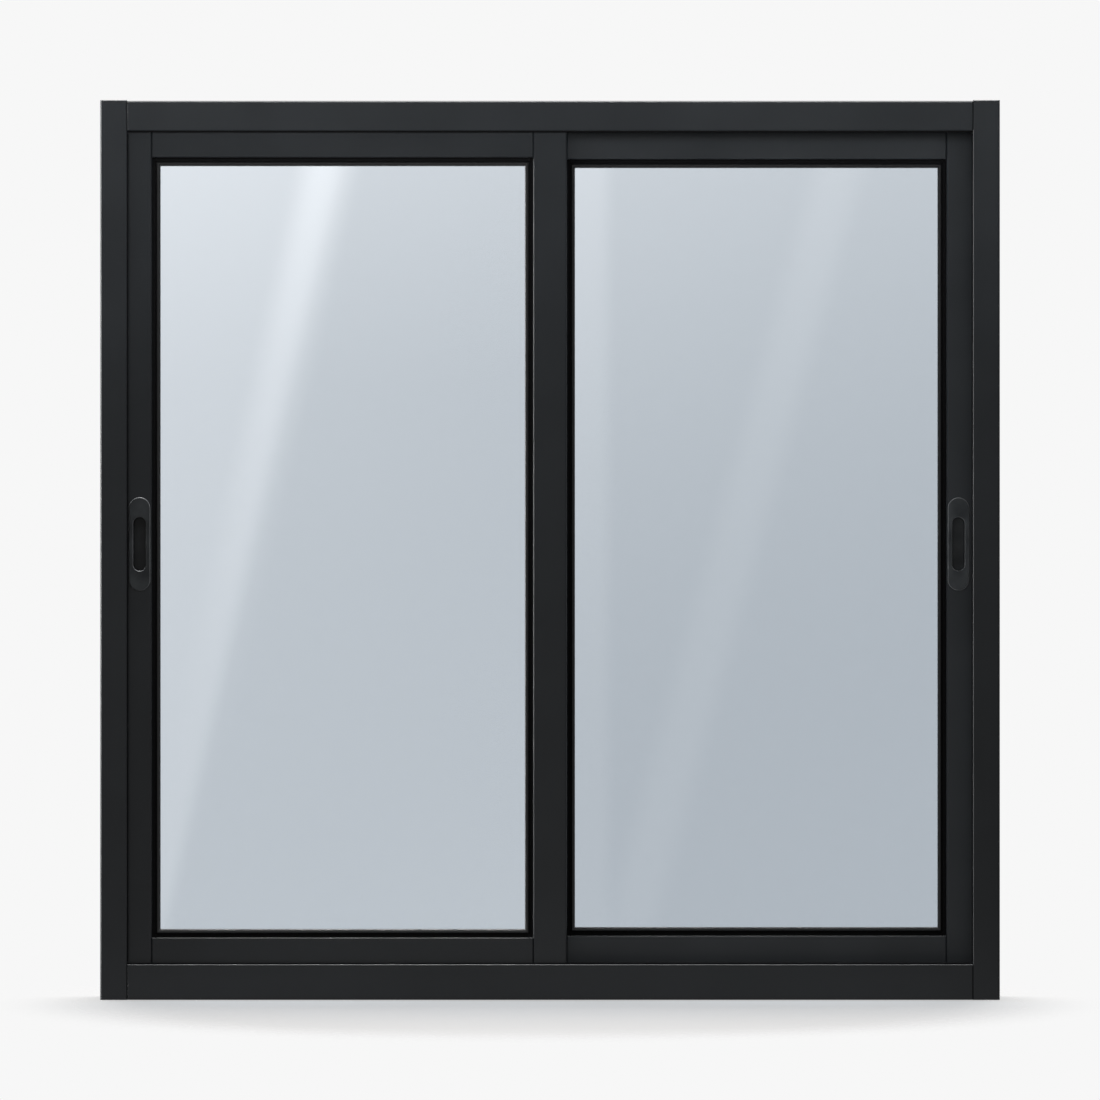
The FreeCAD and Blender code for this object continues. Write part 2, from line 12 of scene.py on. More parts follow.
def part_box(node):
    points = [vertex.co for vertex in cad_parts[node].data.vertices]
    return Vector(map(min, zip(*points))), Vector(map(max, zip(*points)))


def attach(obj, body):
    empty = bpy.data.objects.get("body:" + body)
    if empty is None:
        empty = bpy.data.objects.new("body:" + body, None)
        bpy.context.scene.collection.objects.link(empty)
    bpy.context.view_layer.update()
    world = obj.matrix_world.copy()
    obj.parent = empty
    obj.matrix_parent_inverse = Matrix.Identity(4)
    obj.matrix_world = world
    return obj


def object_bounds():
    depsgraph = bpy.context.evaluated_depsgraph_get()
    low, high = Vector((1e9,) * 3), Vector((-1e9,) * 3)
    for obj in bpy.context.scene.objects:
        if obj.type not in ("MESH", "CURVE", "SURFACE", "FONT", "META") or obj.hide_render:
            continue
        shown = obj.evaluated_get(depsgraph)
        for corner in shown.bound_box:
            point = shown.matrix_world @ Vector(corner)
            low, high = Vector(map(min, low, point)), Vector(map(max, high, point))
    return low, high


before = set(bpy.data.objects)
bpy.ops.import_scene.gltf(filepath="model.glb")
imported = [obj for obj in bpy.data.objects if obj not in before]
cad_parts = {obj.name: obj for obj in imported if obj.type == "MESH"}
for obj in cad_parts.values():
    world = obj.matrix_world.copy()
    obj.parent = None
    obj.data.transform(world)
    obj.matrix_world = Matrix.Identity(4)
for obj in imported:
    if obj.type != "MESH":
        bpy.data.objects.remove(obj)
CAD_BOX = [list(map(float, corner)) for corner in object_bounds()]

bl_info = {
    "name": "Sliding window finishes",
    "version": (1, 0, 0),
    "blender": (4, 5, 0),
    "location": "3D View > Sidebar > Window",
    "description": "Coats, glazes and fits out a sliding window and sets up its studio stage",
    "category": "Object",
}

MM = 0.001

FRAME_MEMBERS = ("left_jamb", "right_jamb", "head", "sill")
TRACK_RAILS = ("front_track_rail", "rear_track_rail")
SASHES = ("left_sash", "right_sash")
SASH_MEMBERS = ("handle_stile", "meeting_stile", "top_rail", "bottom_rail", "interlock")
REAR_SASH_FACES = ("handle_stile", "top_rail", "bottom_rail", "pull")
GASKETS = ("front_gasket", "back_gasket")
MOULDINGS = ("roller_carriages", "guide_blocks")

# Wall of the lips that stand up around the frame's two tracks, and the legs that hold the glass: how
# far they reach past a sash member's face, and how far back from it they lie.
LIP_WALL = 2.5 * MM
GLAZING_LEG = 5.5 * MM
GLAZING_SETBACK = 6.5 * MM

# The camera sees the window square on, and the window takes up 900 of the picture's 1100 pixels.
PICTURE_PIXELS = 1100
WINDOW_PIXELS = 900
SENSOR_WIDTH = 36

# The tufts of a brush strip: half their width at foot and tip and how far a tip may lean along and across
# the strip, as shares of their pitch, and how much of their height the cropping may take.
TUFT_FOOT, TUFT_TIP = 0.45, 0.28
LEAN_ALONG, LEAN_ACROSS = 0.5, 0.4
CROPPING = 0.12

# Level of the gloss of both coats, and the tones that other surfaces have in places, as sRGB hex values.
COAT_GLOSS = 0.42
TALC_TONE = "#2C2D2E"
SCORED_TONE = "#8E8D8A"
PALE_MOULDING_TONE = "#222326"
PALE_WHEEL_TONE = "#E6E1D5"
DEEP_PILE_TONE = "#161718"

# The floor's sheet reaches past the radius where it has melted away, and lies just under the sill.
FLOOR_MARGIN = 1.5
FLOOR_DROP = 0.5 * MM

# The cards that the panes mirror: how far they stand behind the camera, the step from each to the next, so
# that none lies in another, and how large the reflector and the strips show on the window.
CARD_SETBACK = 3.5
CARD_STEP = 0.1
REFLECTOR_SIDE = 1.5
STRIP_HEIGHT = 1.1


class CoatSettings(PropertyGroup):
    """Powder coat of the frame and sashes, and the coat of the pulls."""

    colour: StringProperty(
        name="Coat", description="Powder coat where it is full, as an sRGB hex value", default="#1B1E21")
    thin_colour: StringProperty(
        name="Thin coat", description="Powder coat where it is thinner, as an sRGB hex value",
        default="#15181B")
    roughness: FloatProperty(
        name="Coat roughness", description="Satin of the cured powder",
        default=0.42, min=0, max=1, subtype="FACTOR")
    peel: FloatProperty(
        name="Orange peel", description="Width of one dimple in the cured powder",
        default=3 * MM, min=MM, subtype="DISTANCE")
    pull_colour: StringProperty(
        name="Pull", description="Coat of the cast pulls, as an sRGB hex value", default="#313436")
    # Painted highlight: a pale band along the pulls' rims stands in for the light that their rounded edges
    # catch.
    rim_highlight_colour: StringProperty(
        name="Rubbed rim", description="Pulls' rims, where hands rub the coat thin, as an sRGB hex value",
        default="#8E9092")
    pull_roughness: FloatProperty(
        name="Pull roughness", description="Satin of the pulls' coat",
        default=0.5, min=0, max=1, subtype="FACTOR")
    # Painted shade: from recess_brow down to recess_floor the finger recess is painted darker, darkest at
    # the floor. recess_brow also sets the band of the painted rim highlight.
    recess_brow: FloatProperty(
        name="Recess brow", description="Depth below a pull's face at which its coat begins to thin",
        default=1.2 * MM, min=0, subtype="DISTANCE")
    recess_floor: FloatProperty(
        name="Recess floor", description="Depth below a pull's face at which its coat is thinnest",
        default=9 * MM, min=MM, subtype="DISTANCE")


class GlazingSettings(PropertyGroup):
    """Panes and the rubber that holds them."""

    tint: StringProperty(
        name="Glass tint", description="White light after one pass through a pane, as an sRGB hex value",
        default="#BEC7D0")
    index: FloatProperty(
        name="Refractive index", description="Of the hard metal-oxide film on the glass",
        default=2, min=1, max=2.5)
    rubber_colour: StringProperty(
        name="Gasket", description="Carbon-black rubber, as an sRGB hex value", default="#121213")
    # The wedge's near-black is partly painted shade for the deep glazing groove that it fills.
    wedge_colour: StringProperty(
        name="Wedge", description="Black sponge rubber, as an sRGB hex value", default="#070708")
    wedge_rise: FloatProperty(
        name="Wedge rise", description="Height of the wedge's edge over the legs of a sash",
        default=1 * MM, min=0.2 * MM, subtype="DISTANCE")
    seal: FloatProperty(
        name="Joint seal", description="Width of the bead between two members",
        default=1.5 * MM, min=0.2 * MM, subtype="DISTANCE")
    seal_sink: FloatProperty(
        name="Seal sink", description="How far the bead lies below the members' faces",
        default=0.3 * MM, min=0, subtype="DISTANCE")
    seal_foot: FloatProperty(
        name="Seal foot", description="Depth of the bead's foot in its groove",
        default=1.4 * MM, min=0.2 * MM, subtype="DISTANCE")


class RunningGearSettings(PropertyGroup):
    """Track rails, rollers and their carriages."""

    steel_colour: StringProperty(
        name="Track steel", description="Drawn stainless steel, as an sRGB hex value", default="#B9B8B4")
    moulding_colour: StringProperty(
        name="Carriage", description="Black moulded nylon, as an sRGB hex value", default="#17181A")
    wheel_colour: StringProperty(
        name="Wheel", description="Natural turned nylon, as an sRGB hex value", default="#D9D3C4")


class PileSettings(PropertyGroup):
    """Brush strips between the frame's lips and the sashes."""

    colour: StringProperty(
        name="Pile", description="Dark polypropylene yarn, as an sRGB hex value", default="#2A2B2C")
    width: FloatProperty(
        name="Strip width", description="Width of a strip's backing",
        default=5 * MM, min=2 * MM, subtype="DISTANCE")
    backing: FloatProperty(
        name="Backing", description="Thickness of a strip's backing",
        default=0.9 * MM, min=0.3 * MM, subtype="DISTANCE")
    show: FloatProperty(
        name="Show", description="How far a strip shows past the edge of its lip",
        default=1.4 * MM, min=0, subtype="DISTANCE")
    clearance: FloatProperty(
        name="Clearance", description="From the tips of the pile to the sash that slides past",
        default=0.7 * MM, min=0, subtype="DISTANCE")
    pitch: FloatProperty(
        name="Tuft pitch", description="From one tuft to the next along a strip",
        default=1.5 * MM, min=0.3 * MM, subtype="DISTANCE")
    rows: IntProperty(name="Rows", description="Rows of tufts across a strip", default=3, min=1)


class ScrewSettings(PropertyGroup):
    """Corner screws of the frame and sashes."""

    head: FloatProperty(
        name="Head", description="Diameter of a screw's raised head",
        default=7.5 * MM, min=2 * MM, subtype="DISTANCE")
    rise: FloatProperty(
        name="Rise", description="How far a head stands off the wall it clamps",
        default=0.9 * MM, min=0.2 * MM, subtype="DISTANCE")
    frame_spread: FloatProperty(
        name="Frame spread", description="Between the two screws of one frame corner",
        default=44 * MM, min=5 * MM, subtype="DISTANCE")
    sill_rise: FloatProperty(
        name="Sill rise", description="From the sill's base to the frame's lower screws",
        default=10 * MM, min=0, subtype="DISTANCE")
    head_drop: FloatProperty(
        name="Head drop", description="From the head's top to the frame's upper screws",
        default=6 * MM, min=0, subtype="DISTANCE")
    sash_spread: FloatProperty(
        name="Sash spread", description="Between the two screws of one sash corner",
        default=13 * MM, min=5 * MM, subtype="DISTANCE")


class StageSettings(PropertyGroup):
    """Floor, backdrop, lights and camera."""

    backdrop: StringProperty(
        name="Backdrop", description="Pale sweep behind the window, as an sRGB hex value",
        default="#F7F7F7")
    camera_distance: FloatProperty(
        name="Camera distance", description="From the window's front face to the camera",
        default=10, min=1, subtype="DISTANCE")
    floor_inner: FloatProperty(
        name="Floor", description="Radius of the floor before it melts into the backdrop",
        default=0.5, min=0.1, subtype="DISTANCE")
    floor_outer: FloatProperty(
        name="Floor edge", description="Radius at which the floor has melted into the backdrop",
        default=0.76, min=0.2, subtype="DISTANCE")
    floor_depth: FloatProperty(
        name="Floor depth", description="Front to back of the floor, as a share of its width",
        default=1.12, min=0.1, max=2, subtype="FACTOR")
    floor_forward: FloatProperty(
        name="Floor forward", description="From the window's middle to the floor's, towards the camera",
        default=0.1, min=0, subtype="DISTANCE")
    floor_colour: StringProperty(
        name="Floor paint", description="Paint of the floor, as an sRGB hex value", default="#9D9C9B")
    floor_glow: FloatProperty(
        name="Floor lift", description="Light that lifts the floor to the backdrop in the picture",
        default=0.45, min=0, max=1)
    ambient_low: FloatProperty(
        name="Light from below", description="Level of the studio's light from below", default=0.08, min=0)
    ambient_high: FloatProperty(
        name="Light from above", description="Level of the studio's light from above", default=0.3, min=0)
    front_level: FloatProperty(
        name="Front of studio", description="Level that gloss sees on the camera's side",
        default=0.25, min=0)
    key_power: FloatProperty(
        name="Key", description="Long softbox close to the head", default=8.2, min=0, unit="POWER")
    hair_power: FloatProperty(
        name="Hair", description="Strip light that picks out the upper edges",
        default=356, min=0, unit="POWER")
    rim_power: FloatProperty(
        name="Rim", description="Strip light that picks out the left-hand edges",
        default=100, min=0, unit="POWER")
    top_power: FloatProperty(
        name="Top", description="Softbox above the floor", default=95, min=0, unit="POWER")
    fill_power: FloatProperty(
        name="Fill", description="Softbox before the rear sash", default=20, min=0, unit="POWER")
    reflector: FloatProperty(
        name="Reflector", description="Level of the big card that the panes mirror, at its bright corner",
        default=2.6, min=0)
    left_strip: FloatProperty(
        name="Left strip", description="Level of the left slanted strip that the panes mirror, at its top",
        default=1.4, min=0)
    right_strip: FloatProperty(
        name="Right strip", description="Level of the right slanted strip that the panes mirror, at its top",
        default=0.38, min=0)
    side_panel: FloatProperty(
        name="Side panel", description="Level of the panel left of the left strip",
        default=0.65, min=0)
    low_panel: FloatProperty(
        name="Low panel", description="Level of the panel that the left pane mirrors, at its foot",
        default=0.75, min=0)
    inner_panel: FloatProperty(
        name="Inner panel", description="Level of the panel beside the meeting stiles, at its top",
        default=0.7, min=0)


def linear(hex_value):
    """Linear colour of an sRGB hex value such as #26282A."""
    shares = [int(hex_value[place:place + 2], 16) / 255 for place in (1, 3, 5)]
    return [s / 12.92 if s <= 0.04045 else ((s + 0.055) / 1.055) ** 2.4 for s in shares] + [1]


def per_metre(size):
    """Scale of a pattern whose marks are as wide as size."""
    return 1 / size


def add_node(tree, kind, inputs=None, ramp=(), **settings):
    """Adds a node. An input, by its identifier, takes a plain value, an output or a node's first one."""
    node = tree.nodes.new(kind)
    for name, setting in settings.items():
        setattr(node, name, setting)
    if ramp:
        for element, (position, colour) in zip(node.color_ramp.elements, ramp):
            element.position, element.color = position, colour
    for identifier, source in (inputs or {}).items():
        socket = next(each for each in node.inputs if each.identifier == identifier)
        if isinstance(source, bpy.types.Node):
            source = source.outputs[0]
        if isinstance(source, bpy.types.NodeSocket):
            tree.links.new(source, socket)
        else:
            socket.default_value = source
    return node


def new_material(name):
    """An empty material and its node tree."""
    material = bpy.data.materials.new(name)
    material.use_nodes = True
    material.node_tree.nodes.clear()
    return material, material.node_tree


def powder_coated_aluminium(settings):
    """Black polyester powder, sprayed dry on extruded aluminium and baked."""
    # The baked powder gives a satin black: a broad soft highlight, a little lighter where the coat is
    # full. Its orange peel is under half a millimetre wide, and is drawn wider so that it shows.
    material, tree = new_material("powder_coated_aluminium")
    place = add_node(tree, "ShaderNodeTexCoord").outputs["Object"]
    cloud = add_node(tree, "ShaderNodeTexNoise", {
        "Vector": place, "Scale": per_metre(120 * MM), "Detail": 3})
    tone = add_node(tree, "ShaderNodeValToRGB", {"Fac": cloud}, ramp=(
        (0.3, linear(settings.thin_colour)), (0.7, linear(settings.colour))))
    grain = add_node(tree, "ShaderNodeTexNoise", {
        "Vector": place, "Scale": per_metre(settings.peel), "Detail": 2})
    satin = add_node(tree, "ShaderNodeMapRange", {
        "Value": grain, "To Min": settings.roughness - 0.05, "To Max": settings.roughness + 0.05})
    peel = add_node(tree, "ShaderNodeBump", {"Height": grain, "Strength": 0.12, "Distance": 0.1 * MM})
    coat = add_node(tree, "ShaderNodeBsdfPrincipled", {
        "Base Color": tone, "Roughness": satin, "Specular IOR Level": COAT_GLOSS, "Normal": peel})
    add_node(tree, "ShaderNodeOutputMaterial", {"Surface": coat})
    return material


def coated_cast_zinc(settings, depth):
    """Zinc casting, as deep as depth, with a thin matt black coat."""
    # The coat is paler and duller than the powder beside it. A pale band along the rims is a painted
    # highlight for their rounded edges, and the finger recess is painted darker towards its bottom, a
    # painted shade.
    material, tree = new_material("coated_cast_zinc")
    coordinates = add_node(tree, "ShaderNodeTexCoord")
    place = coordinates.outputs["Object"]
    sides = add_node(tree, "ShaderNodeSeparateXYZ", {"Vector": coordinates.outputs["Generated"]})
    # Painted shade: the finger recess darkens with depth below the pull's face.
    recess_shade = add_node(tree, "ShaderNodeMapRange", {
        "Value": sides.outputs["Y"], "From Min": settings.recess_brow / depth,
        "From Max": settings.recess_floor / depth, "To Min": 1, "To Max": 0.45})
    handling = add_node(tree, "ShaderNodeTexNoise", {
        "Vector": place, "Scale": per_metre(25 * MM), "Detail": 4})
    satin = add_node(tree, "ShaderNodeMapRange", {
        "Value": handling, "To Min": settings.pull_roughness - 0.06,
        "To Max": settings.pull_roughness + 0.06})
    tone = add_node(tree, "ShaderNodeValToRGB", {"Fac": handling}, ramp=(
        (0.3, linear(settings.thin_colour)), (0.7, linear(settings.pull_colour))))
    skin = add_node(tree, "ShaderNodeTexNoise", {
        "Vector": place, "Scale": per_metre(2 * MM), "Detail": 2})
    dimples = add_node(tree, "ShaderNodeBump", {"Height": skin, "Strength": 0.08, "Distance": 0.1 * MM})
    # Painted highlight: a pale band just below the pull's face, along its rims.
    below_face = add_node(tree, "ShaderNodeMapRange", {
        "Value": sides.outputs["Y"], "From Min": 0, "From Max": settings.recess_brow / depth})
    rim = add_node(tree, "ShaderNodeMath", {
        "Value": below_face, "Value_001": 0.5}, operation="PINGPONG")
    rim_highlight = add_node(tree, "ShaderNodeMixRGB", {
        "Fac": rim, "Color1": tone, "Color2": linear(settings.rim_highlight_colour)})
    dimmed = add_node(tree, "ShaderNodeHueSaturation", {"Value": recess_shade, "Color": rim_highlight})
    coat = add_node(tree, "ShaderNodeBsdfPrincipled", {
        "Base Color": dimmed, "Roughness": satin, "Specular IOR Level": COAT_GLOSS, "Normal": dimples})
    add_node(tree, "ShaderNodeOutputMaterial", {"Surface": coat})
    return material


def tinted_float_glass(settings):
    """Grey-blue float glass with a hard solar-control film."""
    # The pane greys what is behind it. Its metal-oxide film mirrors the studio about twice as strongly
    # as plain glass, and dust softens what it mirrors a little in places.
    material, tree = new_material("tinted_float_glass")
    place = add_node(tree, "ShaderNodeTexCoord").outputs["Object"]
    film = add_node(tree, "ShaderNodeTexNoise", {
        "Vector": place, "Scale": per_metre(70 * MM), "Detail": 4})
    dust = add_node(tree, "ShaderNodeMapRange", {"Value": film, "To Min": 0.0, "To Max": 0.02})
    pane = add_node(tree, "ShaderNodeBsdfPrincipled", {
        "Base Color": linear(settings.tint), "Transmission Weight": 1, "IOR": settings.index,
        "Roughness": dust})
    clear = add_node(tree, "ShaderNodeBsdfTransparent", {"Color": linear(settings.tint)})
    path = add_node(tree, "ShaderNodeLightPath")
    surface = add_node(tree, "ShaderNodeMixShader", {
        "Fac": path.outputs["Is Shadow Ray"], "Shader": pane, "Shader_001": clear})
    add_node(tree, "ShaderNodeOutputMaterial", {"Surface": surface})
    return material


def extruded_epdm_rubber(settings):
    """Carbon-black EPDM rubber, extruded and welded at the corners."""
    # Dull and nearly black, with a thin grey sheen along its round, dusted unevenly by the talc it
    # was packed in. The talc's specks are drawn two millimetres wide so that they show.
    material, tree = new_material("extruded_epdm_rubber")
    place = add_node(tree, "ShaderNodeTexCoord").outputs["Object"]
    talc = add_node(tree, "ShaderNodeTexNoise", {
        "Vector": place, "Scale": per_metre(2 * MM), "Detail": 4, "Roughness": 0.7})
    tone = add_node(tree, "ShaderNodeValToRGB", {"Fac": talc}, ramp=(
        (0.45, linear(settings.rubber_colour)), (0.9, linear(TALC_TONE))))
    sheen = add_node(tree, "ShaderNodeMapRange", {"Value": talc, "To Min": 0.28, "To Max": 0.42})
    skin = add_node(tree, "ShaderNodeBump", {"Height": talc, "Strength": 0.1, "Distance": 0.1 * MM})
    rubber = add_node(tree, "ShaderNodeBsdfPrincipled", {
        "Base Color": tone, "Roughness": sheen, "Specular IOR Level": 0.5, "Normal": skin})
    add_node(tree, "ShaderNodeOutputMaterial", {"Surface": rubber})
    return material


def sponge_rubber(name, settings):
    """Black sponge rubber with a skinned, faintly blistered surface."""
    # The open skin swallows light, so a groove that it fills reads as a black line. In the glazing groove
    # that near-black is partly painted shade, standing in for the shade that falls there.
    material, tree = new_material(name)
    place = add_node(tree, "ShaderNodeTexCoord").outputs["Object"]
    cells = add_node(tree, "ShaderNodeTexVoronoi", {"Vector": place, "Scale": per_metre(1.2 * MM)})
    tone = add_node(tree, "ShaderNodeValToRGB", {"Fac": cells}, ramp=(
        (0.1, linear(settings.wedge_colour)), (1, linear(settings.rubber_colour))))
    blisters = add_node(tree, "ShaderNodeBump", {
        "Height": cells, "Strength": 0.2, "Distance": 0.1 * MM})
    rubber = add_node(tree, "ShaderNodeBsdfPrincipled", {
        "Base Color": tone, "Roughness": 0.9, "Specular IOR Level": 0.15, "Normal": blisters})
    add_node(tree, "ShaderNodeOutputMaterial", {"Surface": rubber})
    return material


def drawn_stainless_steel(settings):
    """Stainless strip, rolled and drawn to shape along its length."""
    # Drawing scores it along its length, which smears a highlight across it. The scores are finer
    # than a tenth of a millimetre, and are drawn wider so that they show.
    material, tree = new_material("drawn_stainless_steel")
    place = add_node(tree, "ShaderNodeTexCoord").outputs["Object"]
    along = add_node(tree, "ShaderNodeMapping", {"Vector": place, "Scale": (0.01, 1, 1)})
    score = add_node(tree, "ShaderNodeTexNoise", {
        "Vector": along, "Scale": per_metre(0.6 * MM), "Detail": 3})
    tone = add_node(tree, "ShaderNodeValToRGB", {"Fac": score}, ramp=(
        (0.25, linear(SCORED_TONE)), (0.75, linear(settings.steel_colour))))
    polish = add_node(tree, "ShaderNodeMapRange", {"Value": score, "To Min": 0.22, "To Max": 0.42})
    scoring = add_node(tree, "ShaderNodeBump", {
        "Height": score, "Strength": 0.15, "Distance": 0.05 * MM})
    steel = add_node(tree, "ShaderNodeBsdfPrincipled", {
        "Base Color": tone, "Metallic": 1, "Roughness": polish, "Normal": scoring})
    add_node(tree, "ShaderNodeOutputMaterial", {"Surface": steel})
    return material


def moulded_nylon(name, colour, pale_colour, roughness):
    """Glass-filled nylon from a spark-eroded mould, or turned from bar."""
    # The mould's fine spark pitting, or the cutter's marks, give a dry sheen without a sharp light.
    # The pits are a few hundredths wide, and are drawn at one millimetre so that they show.
    material, tree = new_material(name)
    place = add_node(tree, "ShaderNodeTexCoord").outputs["Object"]
    pits = add_node(tree, "ShaderNodeTexNoise", {
        "Vector": place, "Scale": per_metre(1 * MM), "Detail": 3})
    flow = add_node(tree, "ShaderNodeTexNoise", {
        "Vector": place, "Scale": per_metre(12 * MM), "Detail": 2})
    tone = add_node(tree, "ShaderNodeValToRGB", {"Fac": flow}, ramp=(
        (0.3, linear(colour)), (0.8, linear(pale_colour))))
    dry = add_node(tree, "ShaderNodeMapRange", {
        "Value": pits, "To Min": roughness - 0.08, "To Max": roughness + 0.08})
    pitting = add_node(tree, "ShaderNodeBump", {"Height": pits, "Strength": 0.2, "Distance": 0.1 * MM})
    nylon = add_node(tree, "ShaderNodeBsdfPrincipled", {
        "Base Color": tone, "Roughness": dry, "IOR": 1.53, "Normal": pitting})
    add_node(tree, "ShaderNodeOutputMaterial", {"Surface": nylon})
    return material


def polypropylene_pile(settings):
    """Spun polypropylene yarn, woven into a backing and cropped."""
    # Each tuft differs a little from the next, and light grazing the yarn gives it a soft bloom.
    material, tree = new_material("polypropylene_pile")
    place = add_node(tree, "ShaderNodeTexCoord").outputs["Object"]
    tuft = add_node(tree, "ShaderNodeTexNoise", {
        "Vector": place, "Scale": per_metre(settings.pitch), "Detail": 1})
    tone = add_node(tree, "ShaderNodeValToRGB", {"Fac": tuft}, ramp=(
        (0.3, linear(DEEP_PILE_TONE)), (0.7, linear(settings.colour))))
    yarn = add_node(tree, "ShaderNodeBsdfPrincipled", {
        "Base Color": tone, "Roughness": 0.85, "Specular IOR Level": 0.2, "Sheen Weight": 0.3,
        "Sheen Roughness": 0.5})
    add_node(tree, "ShaderNodeOutputMaterial", {"Surface": yarn})
    return material


def dress(material, names):
    """Gives the CAD nodes of these names their finish."""
    for name in names:
        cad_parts[name].material_slots[0].material = material


def on_sashes(pieces):
    """Names of these pieces on both sashes."""
    return [f"{sash}_{piece}" for sash in SASHES for piece in pieces]


def stiles_of(sash):
    """Names of a sash's two stiles, the left one first."""
    return sorted((f"{sash}_handle_stile", f"{sash}_meeting_stile"), key=lambda name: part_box(name)[0].x)


def new_mesh(name, points, faces):
    """A mesh of these points and faces."""
    mesh = bpy.data.meshes.new(name)
    mesh.from_pydata(points, [], faces)
    mesh.update()
    return mesh


def add_object(name, data):
    """An object of this mesh, light or camera, linked to the scene."""
    made = bpy.data.objects.new(name, data)
    bpy.context.scene.collection.objects.link(made)
    return made


def fit_piece(mesh, materials, body):
    """Adds a fitting, named as its mesh is, that wears these materials and rides on a body."""
    fitting = add_object(mesh.name, mesh)
    for material in materials:
        mesh.materials.append(material)
    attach(fitting, body)


class SLIDINGWINDOW_OT_members(Operator):
    """Coat the frame's members and the sashes' stiles, rails and interlocks"""

    bl_idname = "sliding_window.members"
    bl_label = "Coat the members"

    def execute(self, context):
        coat = powder_coated_aluminium(context.scene.window_coat)
        dress(coat, FRAME_MEMBERS)
        dress(coat, on_sashes(SASH_MEMBERS))
        return {"FINISHED"}


class SLIDINGWINDOW_OT_pulls(Operator):
    """Coat the two recessed pulls"""

    bl_idname = "sliding_window.pulls"
    bl_label = "Coat the pulls"

    def execute(self, context):
        front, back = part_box("left_sash_pull")
        dress(coated_cast_zinc(context.scene.window_coat, back.y - front.y), on_sashes(["pull"]))
        return {"FINISHED"}


class SLIDINGWINDOW_OT_glazing(Operator):
    """Glaze the sashes and finish the gaskets around their panes"""

    bl_idname = "sliding_window.glazing"
    bl_label = "Glaze the sashes"

    def execute(self, context):
        settings = context.scene.window_glazing
        dress(tinted_float_glass(settings), on_sashes(["glass"]))
        dress(extruded_epdm_rubber(settings), on_sashes(GASKETS))
        return {"FINISHED"}


def mitred_ring(name, low, high, section):
    """A closed ring in the XZ plane whose section is given as points (inset, y) from its outer edge."""
    points = [(x, y, z)
              for inset, y in section
              for x, z in ((low[0] + inset, low[1] + inset), (high[0] - inset, low[1] + inset),
                           (high[0] - inset, high[1] - inset), (low[0] + inset, high[1] - inset))]
    count = len(section)
    faces = [(4 * row + side, 4 * row + (side + 1) % 4,
              4 * ((row + 1) % count) + (side + 1) % 4, 4 * ((row + 1) % count) + side)
             for row in range(count) for side in range(4)]
    return new_mesh(name, points, faces)


class SLIDINGWINDOW_OT_wedges(Operator):
    """Fit the black wedges that fill the groove between a sash's members and its gaskets"""

    bl_idname = "sliding_window.wedges"
    bl_label = "Fit the glazing wedges"

    def execute(self, context):
        settings = context.scene.window_glazing
        rubber = sponge_rubber("sponge_rubber", settings)
        # Each wedge is a real glazing wedge, and its near-black is also painted shade for the groove between
        # member and gasket.
        width, rise = GLAZING_LEG, settings.wedge_rise
        # The wedge's hollow top, as shares of its width and rise.
        hollow = ((0, 0.8), (0.35, 0.3), (0.7, 0.3), (1, 1))
        for sash in SASHES:
            left, right = (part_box(name) for name in stiles_of(sash))
            low = (left[1].x - width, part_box(f"{sash}_bottom_rail")[1].z - width)
            high = (right[0].x + width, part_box(f"{sash}_top_rail")[0].z + width)
            for side, face, out in (("front", left[0].y + GLAZING_SETBACK, -1),
                                    ("back", left[1].y - GLAZING_SETBACK, 1)):
                section = [(0, face)] + [(width * across, face + out * rise * up) for across, up in hollow]
                section.append((width, face))
                wedge = mitred_ring(f"{sash}_{side}_wedge", low, high, section[::out])
                fit_piece(wedge, [rubber], sash)
        return {"FINISHED"}


class SLIDINGWINDOW_OT_running_gear(Operator):
    """Finish the track rails, the rollers and their carriages, and the guide blocks"""

    bl_idname = "sliding_window.running_gear"
    bl_label = "Finish the running gear"

    def execute(self, context):
        settings = context.scene.window_running_gear
        dress(drawn_stainless_steel(settings), TRACK_RAILS)
        black = moulded_nylon(
            "moulded_black_nylon", settings.moulding_colour, PALE_MOULDING_TONE, roughness=0.55)
        natural = moulded_nylon(
            "turned_natural_nylon", settings.wheel_colour, PALE_WHEEL_TONE, roughness=0.45)
        dress(black, on_sashes(MOULDINGS))
        dress(natural, on_sashes(["roller_wheels"]))
        return {"FINISHED"}


def block_faces(first, count):
    """Faces of a closed block between two rings of count points each, from index first."""
    ring = range(count)
    sides = [(first + i, first + (i + 1) % count, first + count + (i + 1) % count, first + count + i)
             for i in ring]
    return [tuple(first + i for i in reversed(ring)), tuple(first + count + i for i in ring)] + sides


